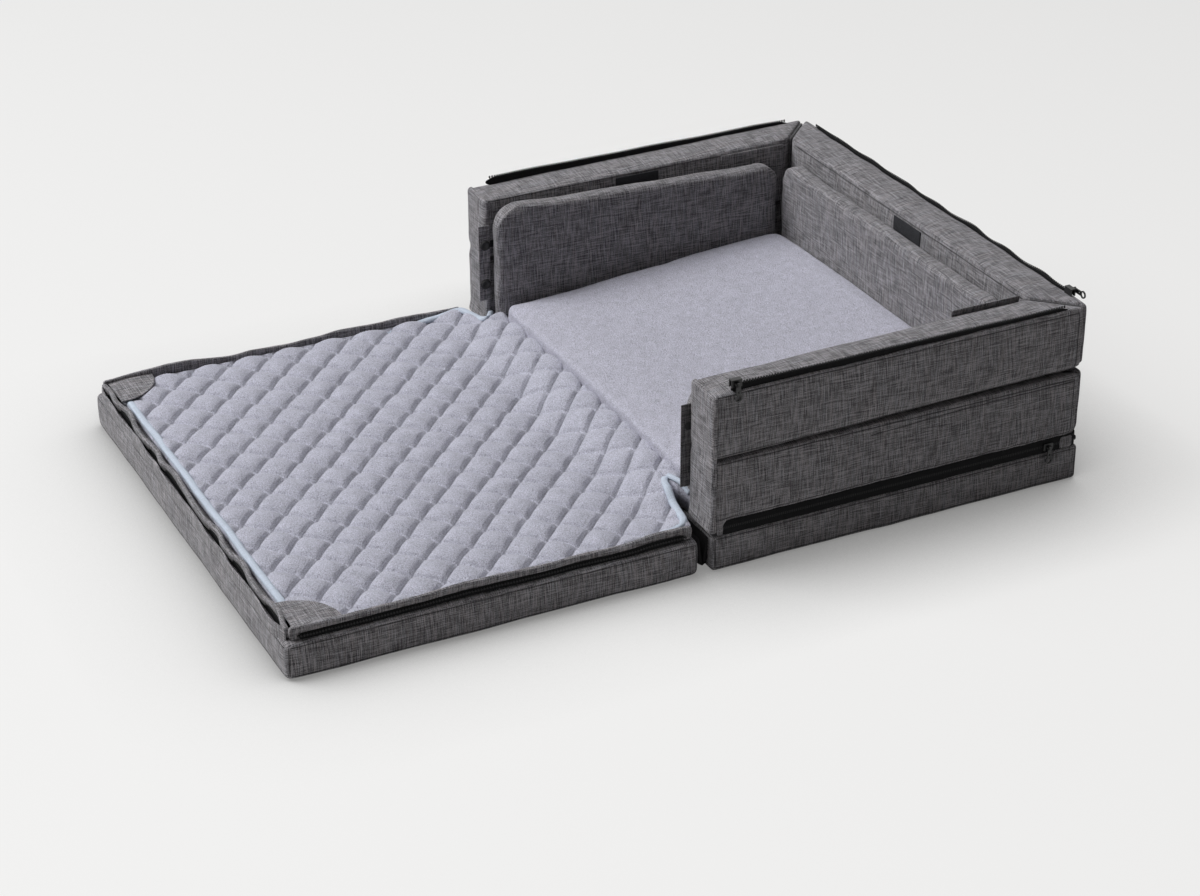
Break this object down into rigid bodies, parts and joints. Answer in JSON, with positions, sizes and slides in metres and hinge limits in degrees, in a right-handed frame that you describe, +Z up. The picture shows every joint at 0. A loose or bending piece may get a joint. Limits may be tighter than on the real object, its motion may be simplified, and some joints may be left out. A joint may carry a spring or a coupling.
{
  "type": "folding sofa bed",
  "caption": "Low foam folding sofa bed: a walled seat with a quilted fold-out front panel; the panel and the upper wall both fold over a cloth hinge.",
  "frame": {"origin": "on the floor under the middle of the fold between the two halves", "axes": "+X along the fold towards the near arm, +Y from the front panel to the back wall, +Z up"},
  "size_m": [0.6052, 0.9156, 0.2148],
  "materials": {
    "grey_linen_cloth": "slubbed linen-look weave",
    "terry_cloth": "short looped terry",
    "binding_tape": "smooth folded tape",
    "dark_lining_cloth": "plain lining",
    "black_zip_tape": "woven tape",
    "hook_patch": "hook and loop",
    "foam": "open cell foam",
    "zip_teeth": "moulded coil",
    "snap_plastic": "moulded",
    "zip_metal": "black enamel"
  },
  "bodies": {
    "base": {"base_cover": "grey_linen_cloth", "base_foam": "foam", "near_lower_wall_cover": "grey_linen_cloth", "near_lower_wall_foam": "foam", "back_lower_wall_cover": "grey_linen_cloth", "back_lower_wall_foam": "foam", "far_lower_wall_cover": "grey_linen_cloth", "far_lower_wall_foam": "foam", "base_zip_tape": "black_zip_tape", "base_zip_teeth": "zip_teeth", "base_zip_end_tabs": "grey_linen_cloth", "seat_pad_cover": "terry_cloth", "seat_pad_foam": "foam", "near_bumper_cover": "grey_linen_cloth", "near_bumper_foam": "foam", "back_bumper_cover": "grey_linen_cloth", "back_bumper_foam": "foam", "far_bumper_cover": "grey_linen_cloth", "far_bumper_foam": "foam", "rear_quilt": "terry_cloth", "rear_quilt_binding": "binding_tape", "snap_tab_anchors": "grey_linen_cloth", "lower_snap_caps": "snap_plastic", "lower_corner_welts": "grey_linen_cloth", "spine_cloth": "dark_lining_cloth", "wall_hinge_cloths": "grey_linen_cloth"},
    "upper_wall": {"near_upper_wall_cover": "grey_linen_cloth", "near_upper_wall_foam": "foam", "back_upper_wall_cover": "grey_linen_cloth", "back_upper_wall_foam": "foam", "far_upper_wall_cover": "grey_linen_cloth", "far_upper_wall_foam": "foam", "near_rim_zip_tape": "black_zip_tape", "back_rim_zip_tape": "black_zip_tape", "far_rim_zip_tape": "black_zip_tape", "rim_zip_teeth": "zip_teeth", "hook_patches": "hook_patch", "corner_flaps": "grey_linen_cloth", "upper_corner_welts": "grey_linen_cloth", "snap_studs": "snap_plastic"},
    "front_panel": {"front_panel_cover": "grey_linen_cloth", "front_panel_foam": "foam", "side_lips": "grey_linen_cloth", "end_lips": "grey_linen_cloth", "panel_zip_tapes": "black_zip_tape", "panel_zip_teeth": "zip_teeth", "corner_pockets": "grey_linen_cloth", "quilted_pad": "terry_cloth", "quilt_binding": "binding_tape"},
    "near_rim_slider": {"near_rim_slider": "zip_metal"},
    "near_rim_pull": {"near_rim_pull": "zip_metal"},
    "back_rim_slider": {"back_rim_slider": "zip_metal"},
    "back_rim_pull": {"back_rim_pull": "zip_metal"},
    "base_zip_slider": {"base_zip_slider": "zip_metal"},
    "base_zip_pull": {"base_zip_pull": "zip_metal"},
    "near_snap_tab": {"near_snap_tab": "grey_linen_cloth", "near_snap_cap": "snap_plastic"},
    "far_snap_tab": {"far_snap_tab": "grey_linen_cloth", "far_snap_cap": "snap_plastic"}
  },
  "joints": [
    {"name": "front_panel_fold", "type": "hinge", "parent": "base", "child": "front_panel", "pos_m": [0, 0, 0.13575], "axis": [-1, 0, 0], "range_deg": [0, 180], "deforming": ["spine_cloth"]},
    {"name": "upper_wall_flip", "type": "hinge", "parent": "base", "child": "upper_wall", "pos_m": [0, 0, 0.13575], "axis": [1, 0, 0], "range_deg": [0, 180], "deforming": ["wall_hinge_cloths"]},
    {"name": "near_rim_slider_run", "type": "slide", "parent": "upper_wall", "child": "near_rim_slider", "axis": [0, 1, 0], "range_m": [0, 0.39]},
    {"name": "near_rim_pull_swing", "type": "hinge", "parent": "near_rim_slider", "child": "near_rim_pull", "pos_m": [0.3014, 0.032, 0.2106], "axis": [0, -1, 0], "range_deg": [0, 150]},
    {"name": "back_rim_slider_run", "type": "slide", "parent": "upper_wall", "child": "back_rim_slider", "axis": [-1, 0, 0], "range_m": [0, 0.528]},
    {"name": "back_rim_pull_swing", "type": "hinge", "parent": "back_rim_slider", "child": "back_rim_pull", "pos_m": [0.266, 0.4574, 0.2106], "axis": [0, 0, 1], "range_deg": [0, 150]},
    {"name": "base_zip_slider_run", "type": "slide", "parent": "base", "child": "base_zip_slider", "axis": [0, -1, 0], "range_m": [0, 0.388]},
    {"name": "base_zip_pull_swing", "type": "hinge", "parent": "base_zip_slider", "child": "base_zip_pull", "pos_m": [0.3033, 0.414, 0.04875], "axis": [0, -1, 0], "range_deg": [0, 150]},
    {"name": "near_snap_tab_peel", "type": "hinge", "parent": "base", "child": "near_snap_tab", "pos_m": [0.2483, 0.0019, 0.125], "axis": [0, -1, 0], "range_deg": [0, 150]},
    {"name": "far_snap_tab_peel", "type": "hinge", "parent": "base", "child": "far_snap_tab", "pos_m": [-0.2483, 0.0019, 0.125], "axis": [0, 1, 0], "range_deg": [0, 150]}
  ]
}
